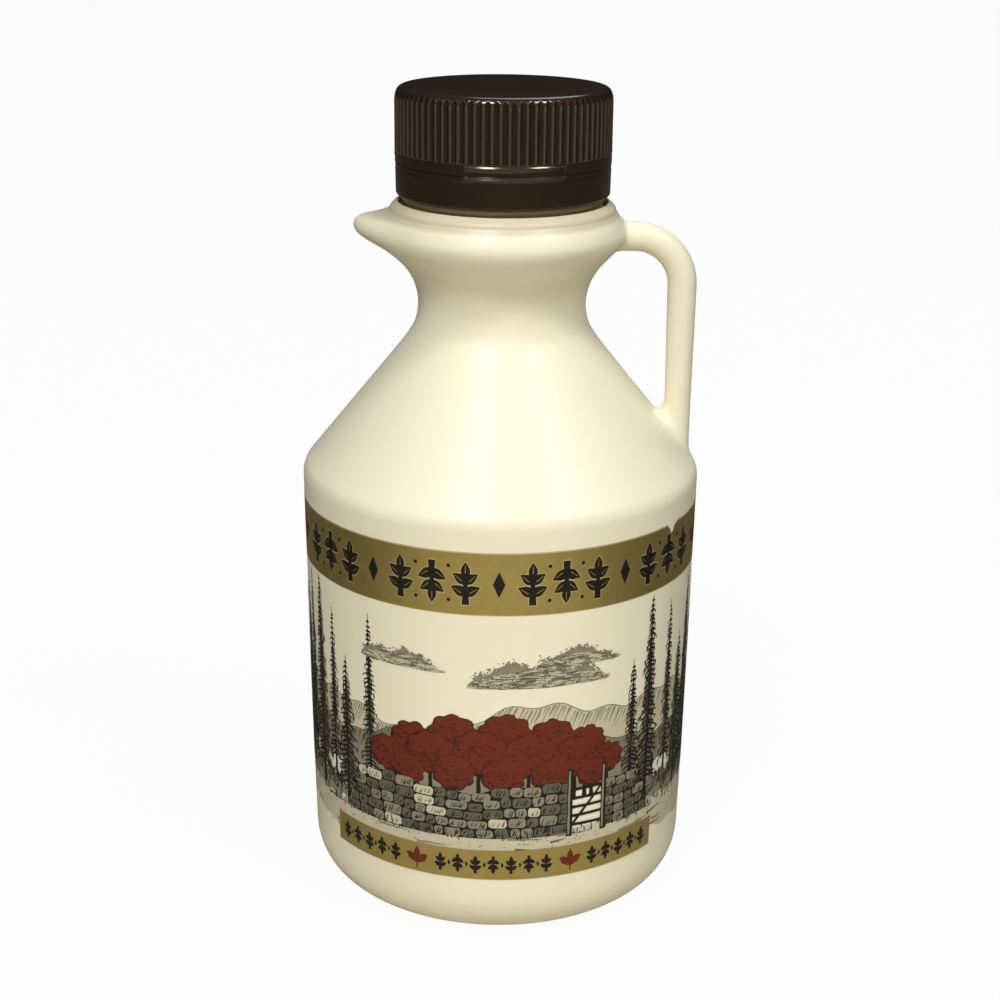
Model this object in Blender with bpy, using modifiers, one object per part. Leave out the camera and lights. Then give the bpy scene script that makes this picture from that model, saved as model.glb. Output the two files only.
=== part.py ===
"""A pint syrup jug with a moulded pouring lip, a loop handle and a ribbed screw cap with its tamper band.

The jug stands on z = 0 with its axis on the Z axis. The handle is towards +X and the lip towards -X.
"""

import math

import bmesh
import bpy
import numpy as np
from mathutils import Vector

MM = 0.001

# Body, from the base up
BASE_RADIUS = 27.5 * MM
HEEL_HEIGHT = 11.0 * MM
HEEL_EXPONENT = 2.32
WALL_BOTTOM_RADIUS = 38.4 * MM
SHOULDER_RADIUS = 39.6 * MM
SHOULDER_HEIGHT = 88.1 * MM
SHOULDER_ROUND = 4.4 * MM
CONE_TOP_RADIUS = 21.0 * MM
CONE_TOP_HEIGHT = 111.1 * MM
WAIST_RADIUS = 16.45 * MM
WAIST_HEIGHT = 121.0 * MM

# Flare above the waist, and the collar that closes it
FLARE_RADIUS = 23.9 * MM
FLARE_HEIGHT = 134.8 * MM
COLLAR_RADIUS = 21.9 * MM
COLLAR_HEIGHT = 139.2 * MM
SLOT_RADIUS = 18.9 * MM
BEAD_RADIUS = 19.65 * MM
BEAD_HEIGHT = 141.25 * MM
NECK_RADIUS = 18.7 * MM

# Pouring lip from low to high: height, reach beyond the flare and rise of its edge
LIP_STATIONS = [
    (127.4 * MM, 0.0, 0.0),
    (129.3 * MM, 0.3 * MM, 0.0),
    (130.6 * MM, 0.8 * MM, 0.05 * MM),
    (131.8 * MM, 1.8 * MM, 0.2 * MM),
    (132.9 * MM, 3.4 * MM, 0.3 * MM),
    (134.0 * MM, 4.6 * MM, 0.5 * MM),
    (135.1 * MM, 5.05 * MM, 0.8 * MM),
    (136.2 * MM, 4.85 * MM, 0.95 * MM),
    (137.2 * MM, 3.95 * MM, 0.65 * MM),
    (138.0 * MM, 2.25 * MM, 0.12 * MM),
    (138.7 * MM, 0.75 * MM, -0.05 * MM),
    (139.6 * MM, 0.0, 0.0),
]
LIP_REACH = 5.05 * MM
LIP_TIP_ROUND = math.radians(6.0)

# Handle
HANDLE_RADIUS = 2.85 * MM
HANDLE_FOOT_RADIUS = 2.56 * MM
HANDLE_TOP_HEIGHT = 134.0 * MM
HANDLE_GRIP_X = 35.25 * MM
HANDLE_BEND_RADIUS = 9.5 * MM
HANDLE_ROOT_X = 18.0 * MM
HANDLE_FOOT_HEIGHT = 88.0 * MM

# Cap and tamper band
GAP = 0.3 * MM
CAP_TOP = 162.6 * MM
CAP_RADIUS = 20.88 * MM
CAP_WALL_RADIUS = 20.8 * MM
CAP_TOP_THICKNESS = 1.6 * MM
CAP_BORE_RADIUS = NECK_RADIUS + GAP
RIB_COUNT = 80
RIB_DEPTH = 0.6 * MM
RIB_BOTTOM = 150.6 * MM
WINDOW_TOP = 149.5 * MM
WINDOW_RADIUS = 20.5 * MM
WINDOW_COUNT = 3
WINDOW_HALF = math.radians(27.0)
FIRST_WINDOW = math.radians(277.0)
BAND_RADIUS = 20.74 * MM
BAND_TOP = 148.25 * MM
BAND_BOTTOM = 142.35 * MM
CAP_BOTTOM = BAND_TOP + GAP

BODY_STEPS = 72
BAND_STEPS = 120


def clear_scene():
    for item in list(bpy.data.objects):
        bpy.data.objects.remove(item, do_unlink=True)


def make_material(name, colour, roughness):
    material = bpy.data.materials.new(name)
    material.use_nodes = True
    shader = material.node_tree.nodes["Principled BSDF"]
    shader.inputs["Base Color"].default_value = (*colour, 1.0)
    shader.inputs["Roughness"].default_value = roughness
    shader.inputs["Metallic"].default_value = 0.0
    return material


def link(collection, item, material):
    collection.objects.link(item)
    item.data.materials.clear()
    item.data.materials.append(material)


def evaluated_mesh(item):
    """Mesh of an object with its modifiers applied."""
    bpy.context.view_layer.update()
    graph = bpy.context.evaluated_depsgraph_get()
    return bpy.data.meshes.new_from_object(item.evaluated_get(graph))


def smooth_path(points, steps):
    """Smooth curve through 2D points. The first and last points only set its end directions."""
    path = []
    for index in range(1, len(points) - 2):
        before, start, end, after = points[index - 1:index + 3]
        for step in range(steps):
            t = step / steps
            path.append(tuple(
                0.5 * (2 * b + (c - a) * t + (2 * a - 5 * b + 4 * c - d) * t ** 2
                       + (3 * b - a - 3 * c + d) * t ** 3)
                for a, b, c, d in zip(before, start, end, after)))
    path.append(points[-2])
    return path


def heel_path(steps=9):
    """Superellipse from the standing face out to the wall, bottom to top."""
    path = []
    for step in range(steps + 1):
        angle = math.pi / 2 * step / steps
        out = math.sin(angle) ** (2 / HEEL_EXPONENT) if step else 0.0
        rise = 1 - math.cos(angle) ** (2 / HEEL_EXPONENT) if step < steps else 1.0
        radius = BASE_RADIUS + (WALL_BOTTOM_RADIUS - BASE_RADIUS) * out
        path.append((radius, HEEL_HEIGHT * rise))
    return path


def shoulder_path(steps=5):
    """Arc that rounds the corner between the wall and the cone, bottom to top."""
    corner = Vector((SHOULDER_RADIUS, SHOULDER_HEIGHT))
    down = (Vector((WALL_BOTTOM_RADIUS, HEEL_HEIGHT)) - corner).normalized()
    up = (Vector((CONE_TOP_RADIUS, CONE_TOP_HEIGHT)) - corner).normalized()
    half = down.angle(up) / 2
    centre = corner + (down + up).normalized() * SHOULDER_ROUND / math.sin(half)
    start = corner + down * SHOULDER_ROUND / math.tan(half) - centre
    turn = math.pi - 2 * half
    path = []
    for step in range(steps + 1):
        angle = turn * step / steps
        path.append((centre.x + start.x * math.cos(angle) - start.y * math.sin(angle),
                     centre.y + start.x * math.sin(angle) + start.y * math.cos(angle)))
    return path


def flare_path(steps=2):
    """Waist, flare and its rounded upper edge, from the cone to the collar."""
    ahead = (CONE_TOP_RADIUS * 1.2, CONE_TOP_HEIGHT - CONE_TOP_RADIUS * 0.25)
    points = [
        ahead,
        (CONE_TOP_RADIUS, CONE_TOP_HEIGHT),
        (CONE_TOP_RADIUS - 2.4 * MM, CONE_TOP_HEIGHT + 3.2 * MM),
        (WAIST_RADIUS + 0.6 * MM, WAIST_HEIGHT - 3.8 * MM),
        (WAIST_RADIUS, WAIST_HEIGHT),
        (WAIST_RADIUS + 0.8 * MM, WAIST_HEIGHT + 4.0 * MM),
        (WAIST_RADIUS + 2.6 * MM, WAIST_HEIGHT + 7.2 * MM),
        (FLARE_RADIUS - 2.9 * MM, FLARE_HEIGHT - 4.4 * MM),
        (FLARE_RADIUS - 0.9 * MM, FLARE_HEIGHT - 2.2 * MM),
        (FLARE_RADIUS, FLARE_HEIGHT),
        (FLARE_RADIUS - 0.55 * MM, FLARE_HEIGHT + 2.1 * MM),
        (COLLAR_RADIUS + 0.5 * MM, COLLAR_HEIGHT - 0.8 * MM),
        (COLLAR_RADIUS, COLLAR_HEIGHT),
    ]
    return smooth_path(points, steps)


def neck_path():
    """Rounded collar edge, groove, bead and the neck that the cap covers, bottom to top."""
    neck_top = CAP_TOP - CAP_TOP_THICKNESS - GAP
    return [
        (COLLAR_RADIUS, COLLAR_HEIGHT + 0.25 * MM),
        (COLLAR_RADIUS - 0.2 * MM, COLLAR_HEIGHT + 0.7 * MM),
        (COLLAR_RADIUS - 0.65 * MM, COLLAR_HEIGHT + 1.15 * MM),
        (COLLAR_RADIUS - 1.35 * MM, COLLAR_HEIGHT + 1.75 * MM),
        (COLLAR_RADIUS - 1.8 * MM, COLLAR_HEIGHT + 0.9 * MM),
        (SLOT_RADIUS, COLLAR_HEIGHT + 0.5 * MM),
        (SLOT_RADIUS, BEAD_HEIGHT - 0.1 * MM),
        (BEAD_RADIUS, BEAD_HEIGHT + 0.1 * MM),
        (BEAD_RADIUS, BAND_BOTTOM - GAP),
        (NECK_RADIUS, BAND_BOTTOM - GAP),
        (NECK_RADIUS, neck_top),
    ]


def turned(name, profile, steps, closed_ring=False):
    """Solid turned from a profile listed top to bottom down its outer side."""
    mesh = bpy.data.meshes.new("outline")
    shape = bmesh.new()
    verts = [shape.verts.new((radius, 0.0, height)) for radius, height in profile]
    for a, b in zip(verts, verts[1:]):
        shape.edges.new((a, b))
    if closed_ring:
        shape.edges.new((verts[-1], verts[0]))
    shape.to_mesh(mesh)
    shape.free()
    item = bpy.data.objects.new("outline", mesh)
    bpy.context.scene.collection.objects.link(item)
    screw = item.modifiers.new("turn", "SCREW")
    screw.axis = "Z"
    screw.steps = steps
    screw.render_steps = steps
    screw.use_merge_vertices = True
    screw.merge_threshold = 0.00001
    result = bpy.data.objects.new(name, evaluated_mesh(item))
    bpy.data.objects.remove(item, do_unlink=True)
    return result


def ramp(value, low, high):
    """Smooth rise from 0 at low to 1 at high."""
    t = min(max((value - low) / (high - low), 0.0), 1.0)
    return t * t * (3 - 2 * t)


def lip_share(angle):
    """How far a direction is along the lip: 1 at its tip, 0 where the two straight sides leave the flare."""
    half = math.acos(FLARE_RADIUS / (FLARE_RADIUS + LIP_REACH))
    blunt = math.hypot(angle, LIP_TIP_ROUND) - LIP_TIP_ROUND
    if blunt >= half:
        return 0.0
    return (FLARE_RADIUS / math.cos(half - blunt) - FLARE_RADIUS) / LIP_REACH


def pull_lip(mesh):
    """Draws the flare out towards -X into a beak with a rounded edge."""
    stations = np.array(LIP_STATIONS)
    for vert in mesh.vertices:
        x, y, z = vert.co
        radius = math.hypot(x, y)
        share = lip_share(math.atan2(y, -x))
        if share <= 0.0 or radius < SLOT_RADIUS - 0.5 * MM:
            continue
        reach = np.interp(z, stations[:, 0], stations[:, 1]) * share
        rise = np.interp(z, stations[:, 0], stations[:, 2]) * share
        scale = (radius + reach) / radius
        vert.co = (x * scale, y * scale, z + rise)


def make_jug_body():
    outline = heel_path() + shoulder_path() + flare_path() + neck_path()
    axis_top = (0.0, outline[-1][1])
    profile = [axis_top] + outline[::-1] + [(0.0, 0.0)]
    body = turned("jug", profile, BODY_STEPS)
    pull_lip(body.data)
    return body


def handle_route():
    """Centre line of the handle from inside the flare, round the bend and down into the cone."""
    bend_x = HANDLE_GRIP_X - HANDLE_BEND_RADIUS
    bend_z = HANDLE_TOP_HEIGHT - HANDLE_BEND_RADIUS
    route = [Vector((HANDLE_ROOT_X, 0.0, HANDLE_TOP_HEIGHT))]
    for step in range(9):
        angle = math.pi / 2 * step / 8
        route.append(Vector((bend_x + HANDLE_BEND_RADIUS * math.sin(angle), 0.0,
                             bend_z + HANDLE_BEND_RADIUS * math.cos(angle))))
    for height in (bend_z - 9 * MM, bend_z - 18 * MM, HANDLE_FOOT_HEIGHT + 8 * MM, HANDLE_FOOT_HEIGHT):
        route.append(Vector((HANDLE_GRIP_X, 0.0, height)))
    return route


def make_handle():
    route = handle_route()
    curve = bpy.data.curves.new("handle", "CURVE")
    curve.dimensions = "3D"
    curve.bevel_depth = HANDLE_RADIUS
    curve.bevel_resolution = 5
    curve.use_fill_caps = True
    spline = curve.splines.new("POLY")
    spline.points.add(len(route) - 1)
    for point, place in zip(spline.points, route):
        point.co = (*place, 1.0)
        # Fullest at the bend, slimmer towards the foot
        full = ramp(place.z, HANDLE_FOOT_HEIGHT + 8 * MM, HANDLE_TOP_HEIGHT - 6 * MM)
        point.radius = (HANDLE_FOOT_RADIUS + (HANDLE_RADIUS - HANDLE_FOOT_RADIUS) * full) / HANDLE_RADIUS
    source = bpy.data.objects.new("handle", curve)
    bpy.context.scene.collection.objects.link(source)
    handle = bpy.data.objects.new("handle_tube", evaluated_mesh(source))
    handle.matrix_world = source.matrix_world.copy()
    bpy.data.objects.remove(source, do_unlink=True)
    shape = bmesh.new()
    shape.from_mesh(handle.data)
    bmesh.ops.remove_doubles(shape, verts=shape.verts, dist=0.00001)
    bmesh.ops.recalc_face_normals(shape, faces=shape.faces)
    shape.to_mesh(handle.data)
    shape.free()
    return handle


def shade(item, sharp_angle):
    item.data.shade_smooth()
    item.data.set_sharp_from_angle(angle=math.radians(sharp_angle))


def make_jug(parts, guides, material):
    """One moulding: body, lip and handle."""
    body = make_jug_body()
    link(parts, body, material)
    handle = make_handle()
    guides.objects.link(handle)
    handle.hide_render = True
    handle.display_type = "WIRE"
    join = body.modifiers.new("join handle", "BOOLEAN")
    join.operation = "UNION"
    join.object = handle
    join.solver = "EXACT"
    shade(body, 35)


def in_window(x, y):
    """Whether a direction lies in one of the shallow windows under the ribs."""
    turn = math.tau / WINDOW_COUNT
    off = (math.atan2(y, x) - FIRST_WINDOW + turn / 2) % turn - turn / 2
    return abs(off) < WINDOW_HALF


def set_radius(vert, radius):
    x, y, z = vert.co
    scale = radius / math.hypot(x, y)
    vert.co = (x * scale, y * scale, z)


def make_cap(parts, material):
    """Cup with vertical ribs over the neck, and shallow windows between the ribs and the tamper band."""
    profile = [
        (0.0, CAP_TOP),
        (CAP_RADIUS - 1.9 * MM, CAP_TOP),
        (CAP_RADIUS - 1.1 * MM, CAP_TOP - 0.15 * MM),
        (CAP_RADIUS - RIB_DEPTH, CAP_TOP - 0.55 * MM),
        (CAP_RADIUS - 0.25 * MM, CAP_TOP - 1.35 * MM),
        (CAP_RADIUS, CAP_TOP - 3.0 * MM),
        (CAP_RADIUS, RIB_BOTTOM + 0.1 * MM),
        (CAP_RADIUS, RIB_BOTTOM),
        (CAP_RADIUS - 0.2 * MM, RIB_BOTTOM - 0.25 * MM),
        (CAP_RADIUS, RIB_BOTTOM - 0.65 * MM),
        (WINDOW_RADIUS, WINDOW_TOP),
        (WINDOW_RADIUS, CAP_BOTTOM),
        (CAP_BORE_RADIUS, CAP_BOTTOM),
        (CAP_BORE_RADIUS, CAP_TOP - CAP_TOP_THICKNESS),
        (0.0, CAP_TOP - CAP_TOP_THICKNESS),
    ]
    steps = RIB_COUNT * 2
    cap = turned("cap", profile, steps)
    for vert in cap.data.vertices:
        x, y, z = vert.co
        radius = math.hypot(x, y)
        column = round(math.atan2(y, x) / math.tau * steps)
        if z > RIB_BOTTOM + 0.05 * MM and column % 2 and radius > CAP_RADIUS - RIB_DEPTH:
            set_radius(vert, CAP_RADIUS - RIB_DEPTH)
        if z < RIB_BOTTOM - 0.05 * MM and radius > WINDOW_RADIUS - 0.01 * MM and not in_window(x, y):
            set_radius(vert, CAP_WALL_RADIUS)
    link(parts, cap, material)
    shade(cap, 25)


def make_tamper_band(parts, material):
    """Ring left on the neck when the cap is first turned off."""
    profile = [
        (BAND_RADIUS - 0.36 * MM, BAND_TOP),
        (BAND_RADIUS - 0.1 * MM, BAND_TOP - 0.55 * MM),
        (BAND_RADIUS, BAND_TOP - 1.0 * MM),
        (BAND_RADIUS - 0.1 * MM, BAND_BOTTOM + 0.4 * MM),
        (BAND_RADIUS - 0.4 * MM, BAND_BOTTOM),
        (CAP_BORE_RADIUS, BAND_BOTTOM),
        (CAP_BORE_RADIUS, BAND_TOP),
    ]
    band = turned("tamper_band", profile, BAND_STEPS, closed_ring=True)
    for vert in band.data.vertices:
        x, y, z = vert.co
        outside = math.hypot(x, y) > BAND_RADIUS - 0.5 * MM
        if outside and z > BAND_TOP - 0.8 * MM and not in_window(x, y):
            set_radius(vert, BAND_RADIUS - 0.03 * MM)
    link(parts, band, material)
    shade(band, 25)


def main():
    clear_scene()
    parts = bpy.data.collections.new("syrup_jug")
    guides = bpy.data.collections.new("guides")
    bpy.context.scene.collection.children.link(parts)
    bpy.context.scene.collection.children.link(guides)
    cream = make_material("cream_plastic", (0.82, 0.76, 0.57), 0.42)
    brown = make_material("brown_plastic", (0.032, 0.019, 0.012), 0.4)
    make_jug(parts, guides, cream)
    make_cap(parts, brown)
    make_tamper_band(parts, brown)


main()
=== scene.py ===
import bpy
import bmesh
import random
from math import acos, atan2, cos, dist, hypot, pi, radians, sin, sqrt, tan, tau
import numpy as np
from mathutils import Matrix, Vector


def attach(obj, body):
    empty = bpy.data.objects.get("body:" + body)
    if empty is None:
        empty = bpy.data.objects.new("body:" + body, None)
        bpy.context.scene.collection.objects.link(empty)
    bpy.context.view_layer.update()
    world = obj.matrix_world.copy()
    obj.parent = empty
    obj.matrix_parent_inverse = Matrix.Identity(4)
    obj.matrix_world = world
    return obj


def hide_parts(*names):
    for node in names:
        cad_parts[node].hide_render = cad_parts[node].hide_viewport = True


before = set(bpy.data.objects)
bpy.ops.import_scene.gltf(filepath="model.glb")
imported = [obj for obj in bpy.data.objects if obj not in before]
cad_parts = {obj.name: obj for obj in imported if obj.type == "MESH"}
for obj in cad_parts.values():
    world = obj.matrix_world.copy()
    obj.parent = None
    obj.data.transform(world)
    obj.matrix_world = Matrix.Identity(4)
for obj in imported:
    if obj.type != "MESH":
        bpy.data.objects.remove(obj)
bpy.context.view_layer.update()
mm = 0.001
sharpAngle = radians(50)


def toLinear(red, green, blue):
    # 8-bit display colour to the linear values that sockets take
    def channel(value):
        value /= 255
        return value / 12.92 if value <= 0.04045 else ((value + 0.055) / 1.055) ** 2.4
    return (channel(red), channel(green), channel(blue), 1.0)


def ramp(value, low, high):
    t = min(max((value - low) / (high - low), 0.0), 1.0)
    return t * t * (3 - 2 * t)


def between(first, second, share):
    return first + (second - first) * share


def smoothPath(points, steps):
    # Catmull-Rom through the points; the first and last only set the end directions
    path = []
    for index in range(1, len(points) - 2):
        before, start, end, after = points[index - 1:index + 3]
        for step in range(steps):
            t = step / steps
            path.append(tuple(
                0.5 * (2 * b + (c - a) * t + (2 * a - 5 * b + 4 * c - d) * t ** 2
                       + (3 * b - a - 3 * c + d) * t ** 3)
                for a, b, c, d in zip(before, start, end, after)))
    path.append(points[-2])
    return path


def evenPath(points, spacing, wallSpacing=0.0, wall=40 * mm):
    # the same outline with points at an even spacing, corners kept, and coarser on a straight wall
    path = [points[0]]
    for start, end in zip(points, points[1:]):
        length = dist(start, end)
        count = max(1, round(length / (wallSpacing if wallSpacing and length > wall else spacing)))
        for step in range(1, count + 1):
            t = step / count
            path.append((between(start[0], end[0], t), between(start[1], end[1], t)))
    return path


def addObject(name, data, material=None):
    piece = bpy.data.objects.new(name, data)
    bpy.context.scene.collection.objects.link(piece)
    if material:
        data.materials.append(material)
    return piece


def dress(piece, node):
    # a visible shell in place of a CAD node
    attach(piece, "root")
    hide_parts(node)
    print(piece.name + ":", len(piece.data.vertices), "vertices")


def bridge(shape, first, second):
    # quads between two rings of vertices; a ring of one vertex is a tip
    steps = max(len(first), len(second))
    for step in range(steps):
        after = (step + 1) % steps
        if len(first) == 1:
            shape.faces.new((first[0], second[step], second[after]))
        elif len(second) == 1:
            shape.faces.new((first[after], first[step], second[0]))
        else:
            shape.faces.new((first[after], first[step], second[step], second[after]))


def finishMesh(name, shape):
    mesh = bpy.data.meshes.new(name)
    shape.to_mesh(mesh)
    shape.free()
    mesh.shade_smooth()
    return mesh


def turnedMesh(name, outline, steps, radiusAt=None, closed=False):
    # outline is (radius, height) from the top down; radiusAt may reshape a ring by angle
    shape = bmesh.new()
    rings = []
    for radius, height in outline:
        ring = []
        for step in range(steps if radius > 0.001 * mm else 1):
            angle = tau * step / steps
            r = radiusAt(radius, height, angle) if radiusAt else radius
            ring.append(shape.verts.new((r * cos(angle), r * sin(angle), height)))
        rings.append(ring)
    if closed:
        rings.append(rings[0])
    for upper, lower in zip(rings, rings[1:]):
        bridge(shape, upper, lower)
    return finishMesh(name, shape)


def newMaterial(name):
    material = bpy.data.materials.new(name)
    material.use_nodes = True
    tree = material.node_tree
    return material, tree, tree.nodes["Principled BSDF"]


def newGroup(name, inputs, outputs):
    # inputs by label with their default values, a colour as a tuple; outputs by label
    group = bpy.data.node_groups.new(name, "ShaderNodeTree")
    for label, value in inputs.items():
        kind = "NodeSocketColor" if isinstance(value, tuple) else "NodeSocketFloat"
        group.interface.new_socket(label, in_out="INPUT", socket_type=kind).default_value = value
    for label in outputs:
        kind = "NodeSocketColor" if label == "Colour" else "NodeSocketFloat"
        group.interface.new_socket(label, in_out="OUTPUT", socket_type=kind)
    return group, group.nodes.new("NodeGroupInput").outputs, group.nodes.new("NodeGroupOutput")


def feed(tree, node, values):
    # another node's output is linked, a plain value is set
    for label, value in values.items():
        if hasattr(value, "is_output"):
            tree.links.new(value, node.inputs[label])
        else:
            node.inputs[label].default_value = value
    return node.outputs


def addNode(tree, kind, values, **settings):
    node = tree.nodes.new(kind)
    for name, setting in settings.items():
        setattr(node, name, setting)
    return feed(tree, node, values)


def addMath(tree, kind, *values):
    return addNode(tree, "ShaderNodeMath", dict(enumerate(values)), operation=kind)[0]


def addMix(tree, share, first, second, kind="RGBA"):
    return addNode(tree, "ShaderNodeMix", {"Factor": share, "A": first, "B": second}, data_type=kind)["Result"]


def addRange(tree, value, low, high, top=1.0):
    # a smooth step from 0 at low to top at high
    values = {"Value": value, "From Min": low, "From Max": high, "To Max": top}
    return addNode(tree, "ShaderNodeMapRange", values, interpolation_type="SMOOTHSTEP")["Result"]


def addBump(tree, height, strength, distance, under=None):
    below = {"Normal": under} if under else {}
    values = {"Height": height, "Strength": strength, "Distance": distance, **below}
    return addNode(tree, "ShaderNodeBump", values)["Normal"]


def addPlace(tree, kind="Object"):
    return addNode(tree, "ShaderNodeTexCoord", {})[kind]


def addSplit(tree, kind="Object"):
    return addNode(tree, "ShaderNodeSeparateXYZ", {0: addPlace(tree, kind)})


def addSeen(tree):
    return addNode(tree, "ShaderNodeLightPath", {})["Is Camera Ray"]


def addGroup(tree, group, values):
    return addNode(tree, "ShaderNodeGroup", values, node_tree=group)


def makeMottleGroup():
    # slow colour drift and fine skin of moulded plastic or printed ink
    group, source, target = newGroup(
        "surfaceMottle",
        {"Colour": (1, 1, 1, 1), "Worn Colour": (0.5, 0.5, 0.5, 1), "Drift Scale": 60.0, "Grain Scale": 900.0,
         "Drift": 0.3, "Gloss": 0.4, "Gloss Spread": 0.06},
        ("Colour", "Roughness", "Height"))
    place = addPlace(group)

    def addNoise(label, detail):
        return addNode(group, "ShaderNodeTexNoise", {"Vector": place, "Scale": source[label], "Detail": detail})

    drift, grain = addNoise("Drift Scale", 3.0), addNoise("Grain Scale", 2.0)
    share = addMath(group, "MULTIPLY", drift["Fac"], source["Drift"])
    centred = addMath(group, "SUBTRACT", grain["Fac"], 0.5)
    spread = addMath(group, "MULTIPLY", centred, source["Gloss Spread"])
    feed(group, target, {
        "Colour": addMix(group, share, source["Colour"], source["Worn Colour"]),
        "Roughness": addMath(group, "ADD", spread, source["Gloss"]), "Height": grain["Fac"]})
    return group


def makeRingMaskGroup():
    # 1 at the full radius between two heights, fading to 0 at the zero radius
    group, source, target = newGroup(
        "ringMask", {"Zero Radius": 0.0, "Full Radius": 1.0, "Low": 0.0, "High": 1.0}, ("Mask",))
    place = addSplit(group)
    squares = [addMath(group, "MULTIPLY", place[axis], place[axis]) for axis in ("X", "Y")]
    out = addMath(group, "SQRT", addMath(group, "ADD", *squares))
    fading = addRange(group, out, source["Zero Radius"], source["Full Radius"])
    above = addMath(group, "GREATER_THAN", place["Z"], source["Low"])
    below = addMath(group, "LESS_THAN", place["Z"], source["High"])
    inside = addMath(group, "MULTIPLY", above, below)
    feed(group, target, {"Mask": addMath(group, "MULTIPLY", fading, inside)})
    return group


def startPlastic(name, mottle, values):
    material, tree, shader = newMaterial(name)
    skin = addGroup(tree, mottle, {
        "Colour": toLinear(*values["colour"]), "Worn Colour": toLinear(*values["worn"]), "Drift": values["drift"],
        "Drift Scale": values["driftScale"], "Grain Scale": values["grainScale"], "Gloss": values["gloss"],
        "Gloss Spread": values["glossSpread"]})
    feed(tree, shader, {"Base Color": skin["Colour"], "Roughness": skin["Roughness"]})
    return material, tree, shader, skin


creamFinish = {
    "colour": (240, 234, 209), "worn": (232, 222, 192), "driftScale": 45.0, "grainScale": 1500.0,
    "drift": 0.35, "gloss": 0.40, "glossSpread": 0.06, "bump": 0.05, "bumpDepth": 0.2 * mm,
    "seamWidth": 0.16 * mm, "seamBump": 0.35, "seamDepth": 0.05 * mm,
    "ringHeight": 8.2 * mm, "ringWidth": 0.4 * mm, "ringBump": 0.25,
    # painted shade of the cap on the neck, its groove and bead, and a weaker painted shade on the collar
    "neckShadeColour": (164, 146, 108), "neckShadeLow": 139.3 * mm, "neckRadius": 20.3 * mm, "neckShadeFade": 0.25 * mm,
    "collarShadeShare": 0.42, "collarShadeLow": 137.5 * mm, "collarShadeHigh": 138.6 * mm,
}
brownFinish = {
    "colour": (37, 25, 16), "worn": (43, 30, 20), "driftScale": 220.0, "grainScale": 2600.0,
    "drift": 0.5, "gloss": 0.17, "glossSpread": 0.06, "bump": 0.02, "bumpDepth": 0.1 * mm,
    "sheen": (1.0, 0.84, 0.70, 1), "shine": 0.68,
    # painted highlight: the crests of the ribs are lighter in colour
    "crest": (73, 65, 55), "crestIn": 20.42 * mm, "crestOut": 20.84 * mm,
    "crestLow": 150.6 * mm, "crestHigh": 161 * mm,
}


def makeCream(mottle, ringMask):
    values = creamFinish
    material, tree, shader, skin = startPlastic("creamPlastic", mottle, values)
    place = addSplit(tree)
    # painted shade: the neck, groove and bead under the cap are mixed towards a dark tan, and everything above the
    # collar's lower edge partly so
    neck = addGroup(tree, ringMask, {
        "Zero Radius": values["neckRadius"], "Full Radius": values["neckRadius"] - values["neckShadeFade"],
        "Low": values["neckShadeLow"]})
    collar = addRange(tree, place["Z"], values["collarShadeLow"], values["collarShadeHigh"], values["collarShadeShare"])
    paintedShade = addMath(tree, "MAXIMUM", neck["Mask"], collar)
    shadedColour = addMix(tree, paintedShade, skin["Colour"], toLinear(*values["neckShadeColour"]))
    # one faint mould ring on the heel, the skin, and the seam in the plane of lip and handle
    fromRing = addMath(tree, "ABSOLUTE", addMath(tree, "SUBTRACT", place["Z"], values["ringHeight"]))
    ring = addRange(tree, fromRing, values["ringWidth"], 0.0)
    seam = addRange(tree, addMath(tree, "ABSOLUTE", place["Y"]), values["seamWidth"], 0.0)
    normal = addBump(tree, ring, values["ringBump"], values["seamDepth"])
    normal = addBump(tree, skin["Height"], values["bump"], values["bumpDepth"], normal)
    normal = addBump(tree, seam, values["seamBump"], values["seamDepth"], normal)
    feed(tree, shader, {"Base Color": shadedColour, "Normal": normal})
    return material


def makeBrown(mottle, ringMask):
    values = brownFinish
    material, tree, shader, skin = startPlastic("brownPlastic", mottle, values)
    # painted highlight: the outer part of every rib is mixed towards a lighter grey-brown, so the grooves stay
    # darker
    crest = addGroup(tree, ringMask, {
        "Zero Radius": values["crestIn"], "Full Radius": values["crestOut"],
        "Low": values["crestLow"], "High": values["crestHigh"]})
    feed(tree, shader, {
        "Base Color": addMix(tree, crest["Mask"], skin["Colour"], toLinear(*values["crest"])),
        "Normal": addBump(tree, skin["Height"], values["bump"], values["bumpDepth"]),
        "Specular IOR Level": values["shine"], "Specular Tint": values["sheen"]})
    return material


inkFinish = {
    # colour, worn colour, metallic share, gloss
    "goldInk": ((180, 162, 98), (160, 143, 84), 0.88, 0.46),
    # pale gold: printed rims round the sprigs, and a painted highlight along the band's top edge
    "paleGoldRimAndHighlight": ((214, 196, 142), (190, 172, 118), 0.5, 0.4),
    "blackInk": ((17, 14, 7), (28, 24, 15), 0.0, 0.5),
    "darkGreyInk": ((84, 82, 68), (104, 101, 86), 0.0, 0.5),
    "greyInk": ((126, 121, 103), (146, 141, 121), 0.0, 0.5),
    "paleGreyInk": ((190, 183, 157), (206, 198, 170), 0.0, 0.48),
    "redInk": ((110, 38, 17), (96, 33, 15), 0.0, 0.46),
    "darkRedInk": ((76, 29, 16), (64, 26, 15), 0.0, 0.46),
}
inkSurface = {
    "drift": 0.9, "driftScale": 420.0, "grainScale": 2200.0, "glossSpread": 0.1,
    "bump": 0.06, "bumpDepth": 0.1 * mm, "shine": 0.26,
}


def makeInk(mottle, name):
    colour, worn, metal, gloss = inkFinish[name]
    values = {"colour": colour, "worn": worn, "gloss": gloss, **inkSurface}
    material, tree, shader, skin = startPlastic(name, mottle, values)
    feed(tree, shader, {
        "Normal": addBump(tree, skin["Height"], values["bump"], values["bumpDepth"]),
        "Metallic": metal, "Specular IOR Level": values["shine"]})
    return material


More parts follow.
